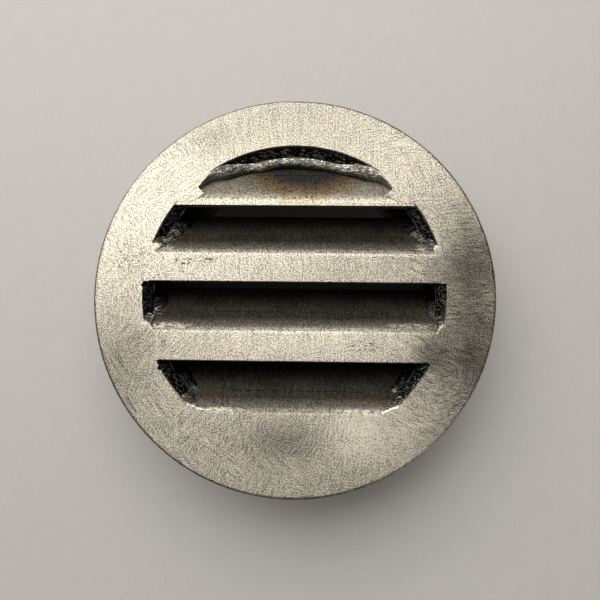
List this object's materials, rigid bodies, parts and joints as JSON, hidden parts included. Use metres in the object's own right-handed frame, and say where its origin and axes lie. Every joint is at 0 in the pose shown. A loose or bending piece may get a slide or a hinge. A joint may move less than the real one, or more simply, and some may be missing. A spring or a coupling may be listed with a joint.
{
  "type": "round louvred vent",
  "caption": "Flat round stainless vent: a plate ring with bent louvre blades welded across its bore, flush with the face, and a short pipe spigot behind.",
  "frame": {"origin": "centre of the spigot's end, on the vent's axis; that end stands on the floor", "axes": "+Z along the axis and out of the face; +Y is up when the vent is fixed to an upright panel, so that the blades shed water outwards; X along the blades"},
  "size_m": [0.1524, 0.1524, 0.034],
  "materials": {
    "ground_plate": "hand-ground with a flap disc, unpolished, overlapping swirls",
    "heat_tinted_plate": "ground, with a straw, brown and blue heat tint beside the weld",
    "pipe_steel": "mill finish with fine circumferential marks",
    "ground_weld": "weld metal ground flush with the face",
    "weld_metal": "weld bead as laid, rippled, brushed"
  },
  "bodies": {
    "root": {"flange_ring": "ground_plate", "upper_blade": "ground_plate", "middle_blade": "ground_plate", "lower_blade": "ground_plate", "top_blade": "heat_tinted_plate", "spigot_tube": "pipe_steel", "upper_bar_seam_left": "ground_weld", "upper_bar_seam_right": "ground_weld", "middle_bar_seam_left": "ground_weld", "middle_bar_seam_right": "ground_weld", "bottom_seam": "ground_weld", "upper_cheek_weld_left": "weld_metal", "upper_cheek_weld_right": "weld_metal", "middle_cheek_weld_left": "weld_metal", "middle_cheek_weld_right": "weld_metal", "lower_cheek_weld_left": "weld_metal", "lower_cheek_weld_right": "weld_metal", "top_closing_weld": "weld_metal", "inner_seal_welds": "weld_metal", "spigot_fillet_weld": "weld_metal"}
  },
  "joints": []
}
